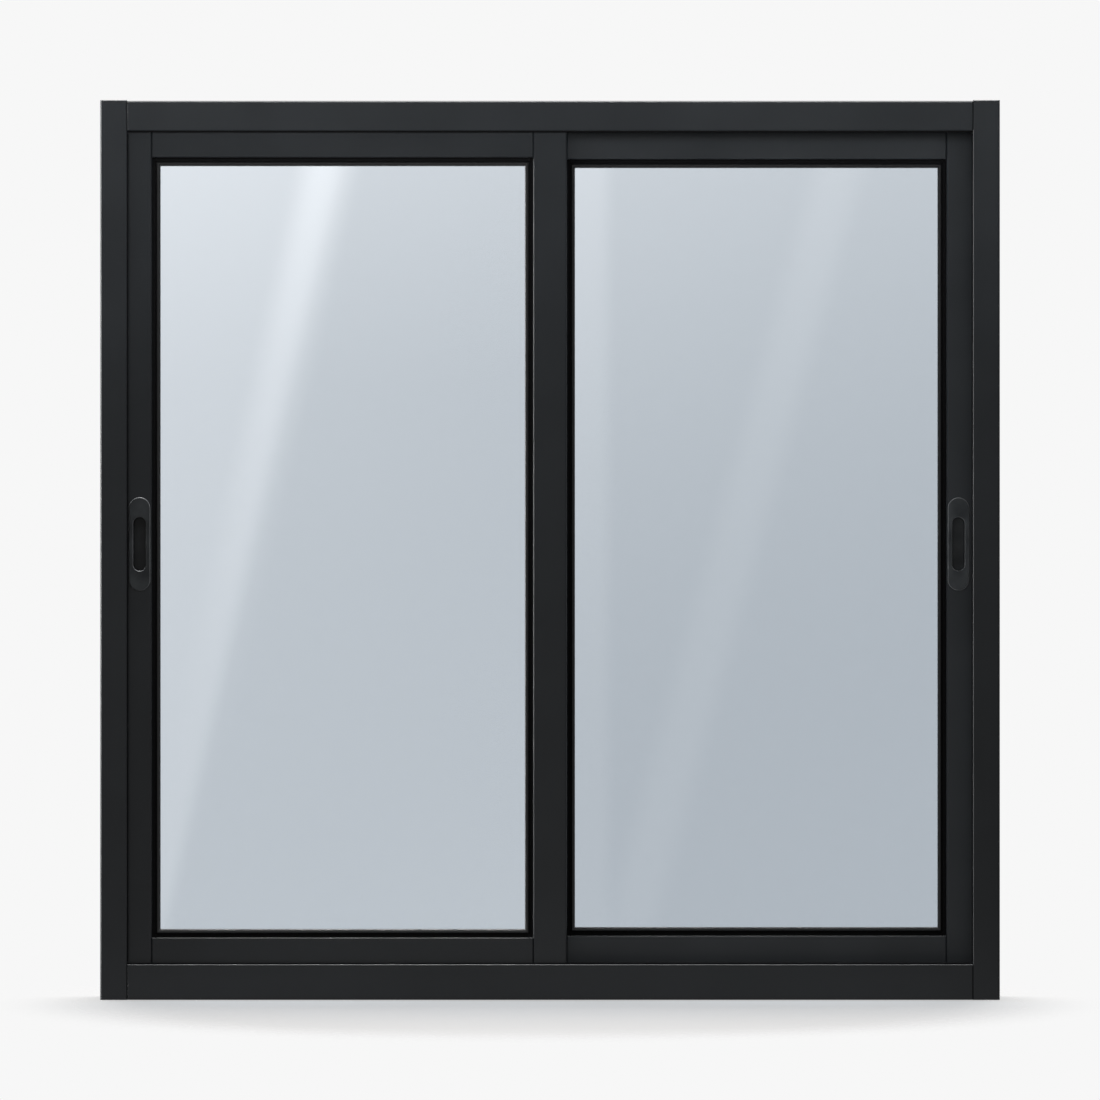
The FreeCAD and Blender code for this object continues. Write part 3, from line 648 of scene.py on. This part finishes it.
def pile_strip(name, start, end, reach, height, settings):
    """Mesh of a brush strip from start to end on a lip, whose pile stands out along reach."""
    draw = random.Random(name)
    along = (end - start).normalized()
    across = along.cross(reach)
    half, edge = settings.width / 2, settings.backing / 2
    section = ((-half, 0), (half, 0), (half, edge), (half - edge, settings.backing),
               (edge - half, settings.backing), (-half, edge))
    points = [origin + across * wide + reach * out for origin in (start, end) for wide, out in section]
    faces = block_faces(0, len(section))
    backing_faces = len(faces)

    tuft_half, tip_half = settings.pitch * TUFT_FOOT, settings.pitch * TUFT_TIP
    corners = ((-1, -1), (1, -1), (1, 1), (-1, 1))
    row_gap = (settings.width - 2 * tuft_half) / settings.rows
    steps = int((end - start).length / settings.pitch)
    for step in range(steps):
        for row in range(settings.rows):
            foot = (start + along * (step + 0.5) * settings.pitch
                    + across * (row - (settings.rows - 1) / 2) * row_gap + reach * edge)
            lean = (along * draw.uniform(-LEAN_ALONG, LEAN_ALONG)
                    + across * draw.uniform(-LEAN_ACROSS, LEAN_ACROSS)) * settings.pitch
            tip = foot + lean + reach * (height - edge - draw.uniform(0, CROPPING) * height)
            faces += block_faces(len(points), len(corners))
            points += [centre + along * (size * a) + across * (size * b)
                       for centre, size in ((foot, tuft_half), (tip, tip_half)) for a, b in corners]

    mesh = new_mesh(name, points, faces)
    for polygon in mesh.polygons:
        polygon.material_index = int(polygon.index >= backing_faces)
    return mesh


def seal_bead(x, face, out, low, high, settings):
    """Points of an upright bead in a groove at x on a front or back face, as two rings."""
    half, sink, foot = settings.seal / 2, settings.seal_sink, settings.seal_foot
    shoulder = 1.6 * sink
    section = ((-half, foot), (half, foot), (half, shoulder), (half / 2, sink), (-half / 2, sink),
               (-half, shoulder))
    return [(x + across, face - out * deep, z) for z in (low, high) for across, deep in section[::out]]


class SLIDINGWINDOW_OT_joint_seals(Operator):
    """Press black beads into the grooves where two members meet"""

    bl_idname = "sliding_window.joint_seals"
    bl_label = "Seal the joints"

    def execute(self, context):
        settings = context.scene.window_glazing
        rubber = sponge_rubber("joint_seal_rubber", settings)
        sets = {"frame": FRAME_MEMBERS}
        for sash in SASHES:
            sets[sash] = (*stiles_of(sash), f"{sash}_top_rail", f"{sash}_bottom_rail")
        for body, (left, right, *level) in sets.items():
            front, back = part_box(level[0])[0].y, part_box(level[0])[1].y
            points, faces = [], []
            for x in (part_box(left)[1].x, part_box(right)[0].x):
                for member in level:
                    low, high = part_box(member)[0].z + MM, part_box(member)[1].z - MM
                    for face, out in ((front, -1), (back, 1)):
                        bead = seal_bead(x, face, out, low, high, settings)
                        faces += block_faces(len(points), len(bead) // 2)
                        points += bead
            fit_piece(new_mesh(f"{body}_joint_seals", points, faces), [rubber], body)
        return {"FINISHED"}


class SLIDINGWINDOW_OT_pile_strips(Operator):
    """Fit the brush strips that seal the sashes against the frame's lips"""

    bl_idname = "sliding_window.pile_strips"
    bl_label = "Fit the brush strips"

    def execute(self, context):
        settings = context.scene.window_pile
        backing = sponge_rubber("skinned_strip_rubber", context.scene.window_glazing)
        pile = polypropylene_pile(settings)
        step = settings.width / 2 - settings.show
        left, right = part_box("left_jamb")[1].x - step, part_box("right_jamb")[0].x + step
        low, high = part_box("sill")[1].z - step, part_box("head")[0].z + step
        overlap = settings.width
        front_lip, back_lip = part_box("sill")[0].y + LIP_WALL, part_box("sill")[1].y - LIP_WALL
        front_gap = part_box("left_sash_handle_stile")[0].y - front_lip
        back_gap = back_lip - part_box("right_sash_handle_stile")[1].y
        runs = {
            "left": ((left, low + overlap), (left, high - overlap)),
            "right": ((right, low + overlap), (right, high - overlap)),
            "top": ((left, high), (right, high)),
            "bottom": ((left, low), (right, low)),
        }
        for side, lip, reach, gap in (("front", front_lip, Vector((0, 1, 0)), front_gap),
                                      ("rear", back_lip, Vector((0, -1, 0)), back_gap)):
            for run, ((x0, z0), (x1, z1)) in runs.items():
                strip = pile_strip(f"{side}_{run}_pile_strip", Vector((x0, lip, z0)),
                                   Vector((x1, lip, z1)), reach, gap - settings.clearance, settings)
                fit_piece(strip, [backing, pile], "frame")
        return {"FINISHED"}


def add_screw_head(mesh, matrix, settings):
    """Adds a raised screw head with a cross recess, standing on the plane of matrix along its Z."""
    radius, rise = settings.head / 2, settings.rise
    sides = 32
    arm, reach, depth, taper = 0.16 * radius, 0.52 * radius, 0.85 * rise, 0.7
    shoulder_radius, shoulder_rise, brow_radius = radius * 0.97, rise * 0.55, radius * 0.8

    def ring(points, height):
        made = [mesh.verts.new(matrix @ Vector((x, y, height))) for x, y in points]
        edges = [mesh.edges.new((made[i - 1], made[i])) for i in range(len(made))]
        return made, edges

    def wall(low, high):
        for i in range(len(low)):
            mesh.faces.new((low[i - 1], low[i], high[i], high[i - 1]))

    def circle(size):
        turns = [2 * math.pi * i / sides for i in range(sides)]
        return [(size * math.cos(turn), size * math.sin(turn)) for turn in turns]

    def cross(scale):
        a, r = arm * scale, reach * scale
        quarter = [(r, -a), (r, a), (a, a)]
        turned = []
        for turn in range(4):
            for x, y in quarter:
                for _ in range(turn):
                    x, y = -y, x
                turned.append((x, y))
        return turned

    foot, _ = ring(circle(radius), 0)
    shoulder, _ = ring(circle(shoulder_radius), shoulder_rise)
    brow, brow_edges = ring(circle(brow_radius), rise)
    mouth, mouth_edges = ring(cross(1), rise)
    floor, _ = ring(cross(taper), rise - depth)
    wall(foot, shoulder)
    wall(shoulder, brow)
    wall(mouth, floor)
    bmesh.ops.triangle_fill(mesh, use_beauty=True, edges=brow_edges + mouth_edges)
    mesh.faces.new(floor)
    mesh.faces.new(list(reversed(foot)))


class SLIDINGWINDOW_OT_screws(Operator):
    """Fit the screws that hold the corners of the frame and of the sashes"""

    bl_idname = "sliding_window.screws"
    bl_label = "Fit the corner screws"

    def execute(self, context):
        settings = context.scene.window_screws
        steel = drawn_stainless_steel(context.scene.window_running_gear)
        frame_low, frame_high = (Vector(corner) for corner in CAD_BOX)
        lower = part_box("sill")[0].z + settings.sill_rise
        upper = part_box("head")[1].z - settings.head_drop
        groups = {"frame": [
            (x, y, z)
            for x in (frame_low.x, frame_high.x)
            for y in (-settings.frame_spread / 2, settings.frame_spread / 2)
            for z in (lower, upper)]}
        for outer, sash in enumerate(SASHES):
            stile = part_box(f"{sash}_handle_stile")
            rails = [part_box(f"{sash}_top_rail"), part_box(f"{sash}_bottom_rail")]
            middle = (stile[0].y + stile[1].y) / 2
            groups[sash] = [
                (stile[outer].x, y, (rail[0].z + rail[1].z) / 2)
                for y in (middle - settings.sash_spread / 2, middle + settings.sash_spread / 2)
                for rail in rails]
        for body, places in groups.items():
            mesh = bmesh.new()
            for place in places:
                turn = math.copysign(math.pi / 2, place[0])
                add_screw_head(mesh, Matrix.Translation(place) @ Matrix.Rotation(turn, 4, "Y"), settings)
            bmesh.ops.recalc_face_normals(mesh, faces=mesh.faces)
            screws = bpy.data.meshes.new(f"{body}_corner_screws")
            mesh.to_mesh(screws)
            mesh.free()
            fit_piece(screws, [steel], body)
        return {"FINISHED"}


def upright_card(name, width, height):
    """A stage card in its own XZ plane, facing the window."""
    x, z = width / 2, height / 2
    corners = [(-x, 0, -z), (x, 0, -z), (x, 0, z), (-x, 0, z)]
    card = add_object(name, new_mesh(name, corners, [(3, 2, 1, 0)]))
    for kind in ("camera", "diffuse", "transmission", "volume_scatter", "shadow"):
        setattr(card, f"visible_{kind}", False)
    return card


def reflector_cloth(level):
    """Lit cloth of the big reflector, bright at the upper left and dark at the lower right."""
    material, tree = new_material("reflector_cloth")
    place = add_node(tree, "ShaderNodeTexCoord").outputs["Generated"]
    diagonal = add_node(tree, "ShaderNodeVectorMath", {
        "Vector": place, "Vector_001": (-0.4, 0, 1.25)}, operation="DOT_PRODUCT")
    spread = add_node(tree, "ShaderNodeMath", {
        "Value": diagonal.outputs["Value"], "Value_001": -0.075}, operation="ADD")
    lit = add_node(tree, "ShaderNodeMath", {"Value": spread, "Value_001": 0}, operation="MAXIMUM")
    falloff = add_node(tree, "ShaderNodeMath", {"Value": lit, "Value_001": 2}, operation="POWER")
    strength = add_node(tree, "ShaderNodeMath", {
        "Value": falloff, "Value_001": level}, operation="MULTIPLY")
    light = add_node(tree, "ShaderNodeEmission", {"Strength": strength})
    add_node(tree, "ShaderNodeOutputMaterial", {"Surface": light})
    return material


def strip_cloth(name, high, low, core):
    """Lit cloth, even over its core, soft at its sides and fading from its high level to its low one."""
    material, tree = new_material(name)
    place = add_node(tree, "ShaderNodeTexCoord").outputs["Generated"]
    sides = add_node(tree, "ShaderNodeSeparateXYZ", {"Vector": place})
    edge = add_node(tree, "ShaderNodeMath", {
        "Value": sides.outputs["X"], "Value_001": 0.5}, operation="SUBTRACT")
    offset = add_node(tree, "ShaderNodeMath", {"Value": edge}, operation="ABSOLUTE")
    soft = add_node(tree, "ShaderNodeMapRange", {
        "Value": offset, "From Min": core, "From Max": 0.5, "To Min": 1, "To Max": 0},
        interpolation_type="SMOOTHSTEP")
    height = add_node(tree, "ShaderNodeMath", {
        "Value": sides.outputs["Z"], "Value_001": 2}, operation="POWER")
    fade = add_node(tree, "ShaderNodeMapRange", {"Value": height, "To Min": low, "To Max": high})
    glow = add_node(tree, "ShaderNodeMath", {"Value": soft, "Value_001": fade}, operation="MULTIPLY")
    light = add_node(tree, "ShaderNodeEmission", {"Strength": glow})
    clear = add_node(tree, "ShaderNodeBsdfTransparent")
    both = add_node(tree, "ShaderNodeAddShader", {"Shader": light, "Shader_001": clear})
    add_node(tree, "ShaderNodeOutputMaterial", {"Surface": both})
    return material


def studio_floor(settings):
    """Matt painted floor that melts into the backdrop away from the window."""
    material, tree = new_material("painted_studio_floor")
    place = add_node(tree, "ShaderNodeTexCoord").outputs["Object"]
    radius = add_node(tree, "ShaderNodeVectorMath", {"Vector": place}, operation="LENGTH")
    presence = add_node(tree, "ShaderNodeMapRange", {
        "Value": radius.outputs["Value"], "From Min": settings.floor_inner,
        "From Max": settings.floor_outer, "To Min": 1, "To Max": 0}, interpolation_type="SMOOTHERSTEP")
    path = add_node(tree, "ShaderNodeLightPath")
    seen = add_node(tree, "ShaderNodeMath", {
        "Value": path.outputs["Is Camera Ray"], "Value_001": path.outputs["Is Transmission Ray"]},
        operation="MAXIMUM")
    bright = add_node(tree, "ShaderNodeMath", {
        "Value": seen, "Value_001": path.outputs["Is Glossy Ray"]}, operation="MAXIMUM")
    lift = add_node(tree, "ShaderNodeMath", {
        "Value": bright, "Value_001": settings.floor_glow}, operation="MULTIPLY")
    paint = add_node(tree, "ShaderNodeBsdfDiffuse", {"Color": linear(settings.floor_colour)})
    glow = add_node(tree, "ShaderNodeEmission", {"Strength": lift})
    lit = add_node(tree, "ShaderNodeAddShader", {"Shader": paint, "Shader_001": glow})
    clear = add_node(tree, "ShaderNodeBsdfTransparent")
    surface = add_node(tree, "ShaderNodeMixShader", {
        "Fac": presence, "Shader": clear, "Shader_001": lit})
    add_node(tree, "ShaderNodeOutputMaterial", {"Surface": surface})
    return material


def light_world(settings):
    """Backdrop for the camera, the glass and the gloss behind the window, and plain soft light."""
    world = bpy.data.worlds.new("studio")
    bpy.context.scene.world = world
    world.use_nodes = True
    tree = world.node_tree
    tree.nodes.clear()
    place = add_node(tree, "ShaderNodeTexCoord").outputs["Generated"]
    side = add_node(tree, "ShaderNodeSeparateXYZ", {"Vector": place})
    behind = add_node(tree, "ShaderNodeMapRange", {
        "Value": side.outputs["Y"], "From Min": -0.3, "From Max": 0.5, "To Min": settings.front_level,
        "To Max": 1}, interpolation_type="SMOOTHSTEP")
    path = add_node(tree, "ShaderNodeLightPath")
    gloss = add_node(tree, "ShaderNodeMath", {
        "Value": path.outputs["Is Glossy Ray"], "Value_001": behind}, operation="MULTIPLY")
    through = add_node(tree, "ShaderNodeMath", {
        "Value": path.outputs["Is Camera Ray"], "Value_001": path.outputs["Is Transmission Ray"]},
        operation="MAXIMUM")
    level = add_node(tree, "ShaderNodeMath", {
        "Value": gloss, "Value_001": through}, operation="MAXIMUM")
    sweep = add_node(tree, "ShaderNodeBackground", {
        "Color": linear(settings.backdrop), "Strength": level})
    height = add_node(tree, "ShaderNodeMapRange", {
        "Value": side.outputs["Z"], "From Min": -1, "From Max": 1, "To Min": settings.ambient_low,
        "To Max": settings.ambient_high})
    ambient = add_node(tree, "ShaderNodeBackground", {"Color": linear("#FFFFFF"), "Strength": height})
    mirrored = add_node(tree, "ShaderNodeMath", {
        "Value": path.outputs["Is Glossy Ray"], "Value_001": through}, operation="MAXIMUM")
    both = add_node(tree, "ShaderNodeMixShader", {
        "Fac": mirrored, "Shader": ambient, "Shader_001": sweep})
    add_node(tree, "ShaderNodeOutputWorld", {"Surface": both})


def add_softbox(name, place, target, width, height, power):
    """An area light at place that faces target."""
    data = bpy.data.lights.new(name, "AREA")
    data.shape = "RECTANGLE"
    data.size, data.size_y, data.energy = width, height, power
    softbox = add_object(name, data)
    softbox.visible_camera = False
    softbox.location = place
    softbox.rotation_euler = (Vector(target) - Vector(place)).to_track_quat("-Z", "Y").to_euler()
    return softbox


def link_light(light, pieces, state):
    """Keeps a light off some pieces, or on those pieces alone, as flags on stands would."""
    linked = bpy.data.collections.new(f"{light.name}_linked")
    for piece in pieces:
        linked.objects.link(piece)
    for member in linked.collection_objects:
        member.light_linking.link_state = state
    light.light_linking.receiver_collection = linked


class SLIDINGWINDOW_OT_stage(Operator):
    """Set up the floor, the backdrop, the studio lights and the camera"""

    bl_idname = "sliding_window.stage"
    bl_label = "Set up the stage"

    def execute(self, context):
        settings = context.scene.window_stage
        low, high = CAD_BOX
        middle = (low[2] + high[2]) / 2
        context.scene.view_settings.view_transform = "Standard"

        reach = settings.floor_outer * FLOOR_MARGIN
        corners = [(-reach, -reach, 0), (reach, -reach, 0), (reach, reach, 0), (-reach, reach, 0)]
        floor = add_object("floor", new_mesh("floor", corners, [(0, 1, 2, 3)]))
        floor.data.materials.append(studio_floor(settings))
        floor.location = (0, -settings.floor_forward, low[2] - FLOOR_DROP)
        floor.scale.y = settings.floor_depth
        light_world(settings)

        camera = add_object("camera", bpy.data.cameras.new("camera"))
        camera.location = (0, low[1] - settings.camera_distance, middle)
        camera.rotation_euler = (math.pi / 2, 0, 0)
        camera.data.sensor_width = SENSOR_WIDTH
        picture_width = (high[0] - low[0]) * PICTURE_PIXELS / WINDOW_PIXELS
        camera.data.lens = SENSOR_WIDTH * settings.camera_distance / picture_width
        context.scene.camera = camera

        key_height = high[2] + 25 * MM
        key = add_softbox("key_softbox", place=(0, -0.6, key_height), target=(0, 0, key_height),
                          width=1.9, height=0.1, power=settings.key_power)
        hair = add_softbox("hair_strip", place=(0, -0.3, 6), target=(0, 0, high[2]),
                           width=1.6, height=0.45, power=settings.hair_power)
        rim = add_softbox("rim_strip", place=(-2.5, -0.12, 0.9), target=(0, 0, middle),
                          width=0.3, height=1.6, power=settings.rim_power)
        top = add_softbox("top_softbox", place=(0, 0.45, 2.5), target=(0, 0.45, 0),
                          width=2, height=0.7, power=settings.top_power)
        # The rear sash stands in the shade of the frame's lips, so it has a fill of its own.
        fill = add_softbox("rear_fill", place=(0.3, -2.2, 0.7), target=(0.3, 0, 0.7),
                           width=0.8, height=1.2, power=settings.fill_power)
        rear_faces = [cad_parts[f"right_sash_{name}"] for name in REAR_SASH_FACES]
        for light in (key, fill):
            light.visible_glossy = light.visible_transmission = False
        for light in (key, hair, rim):
            link_light(light, [floor], "EXCLUDE")
        link_light(top, [floor], "INCLUDE")
        link_light(fill, rear_faces, "INCLUDE")

        # A card shows in a pane as far behind the pane as it stands before it. So it is larger than it
        # shows on the window, by the whole of that way over the way from the camera to the pane.
        card_distance = settings.camera_distance + CARD_SETBACK
        scale = 1 + card_distance / settings.camera_distance
        reflector = upright_card("reflector", REFLECTOR_SIDE * scale, REFLECTOR_SIDE * scale)
        reflector.location = (0, low[1] - card_distance, middle)
        reflector.data.materials.append(reflector_cloth(settings.reflector))
        # Each strip's place across and up from the window's middle, its width and its slant in degrees,
        # then its cloth's levels at top and foot and how far to each side it is even, as a share.
        strips = (
            ("left_strip", -0.407, 0.02, 0.1, 12.8, (settings.left_strip, 0, 0.08)),
            ("right_strip", 0.25, 0.02, 0.1, 15.4,
             (settings.right_strip, 0.6 * settings.right_strip, 0.08)),
            ("side_panel", -0.632, 0.02, 0.5, 12.8, (settings.side_panel, settings.side_panel, 0.44)),
            ("low_panel", -0.34, -0.33, 0.7, 0, (0, settings.low_panel, 0.44)),
            ("inner_panel", 0.04, 0.02, 0.1, 0, (settings.inner_panel, 0.4 * settings.inner_panel, 0.2)))
        for step, (name, x, z, width, slant, cloth) in enumerate(strips, 1):
            strip = upright_card(name, width * scale, STRIP_HEIGHT * scale)
            strip.location = (x * scale, low[1] - card_distance + CARD_STEP * step, middle + z * scale)
            strip.rotation_euler.y = math.radians(slant)
            strip.data.materials.append(strip_cloth(f"{name}_cloth", *cloth))
        return {"FINISHED"}


class SLIDINGWINDOW_PT_finishes(Panel):
    """Settings and steps of the sliding window"""

    bl_idname = "SLIDINGWINDOW_PT_finishes"
    bl_label = "Sliding window"
    bl_space_type = "VIEW_3D"
    bl_region_type = "UI"
    bl_category = "Window"

    def draw(self, context):
        for name, group in SETTINGS.items():
            box = self.layout.box()
            for setting in group.__annotations__:
                box.prop(getattr(context.scene, name), setting)
        for operator in OPERATORS:
            self.layout.operator(operator.bl_idname)


SETTINGS = {
    "window_coat": CoatSettings,
    "window_glazing": GlazingSettings,
    "window_running_gear": RunningGearSettings,
    "window_pile": PileSettings,
    "window_screws": ScrewSettings,
    "window_stage": StageSettings,
}
OPERATORS = (
    SLIDINGWINDOW_OT_members,
    SLIDINGWINDOW_OT_pulls,
    SLIDINGWINDOW_OT_glazing,
    SLIDINGWINDOW_OT_wedges,
    SLIDINGWINDOW_OT_running_gear,
    SLIDINGWINDOW_OT_joint_seals,
    SLIDINGWINDOW_OT_pile_strips,
    SLIDINGWINDOW_OT_screws,
    SLIDINGWINDOW_OT_stage,
)


def register():
    for name, group in SETTINGS.items():
        bpy.utils.register_class(group)
        setattr(bpy.types.Scene, name, PointerProperty(type=group))
    for made in (*OPERATORS, SLIDINGWINDOW_PT_finishes):
        bpy.utils.register_class(made)


def unregister():
    for made in (SLIDINGWINDOW_PT_finishes, *reversed(OPERATORS)):
        bpy.utils.unregister_class(made)
    for name, group in SETTINGS.items():
        delattr(bpy.types.Scene, name)
        bpy.utils.unregister_class(group)


def main():
    register()
    bpy.ops.sliding_window.members()
    bpy.ops.sliding_window.pulls()
    bpy.ops.sliding_window.glazing()
    bpy.ops.sliding_window.wedges()
    bpy.ops.sliding_window.running_gear()
    bpy.ops.sliding_window.joint_seals()
    bpy.ops.sliding_window.pile_strips()
    bpy.ops.sliding_window.screws()
    bpy.ops.sliding_window.stage()


if __name__ == "__main__":
    main()
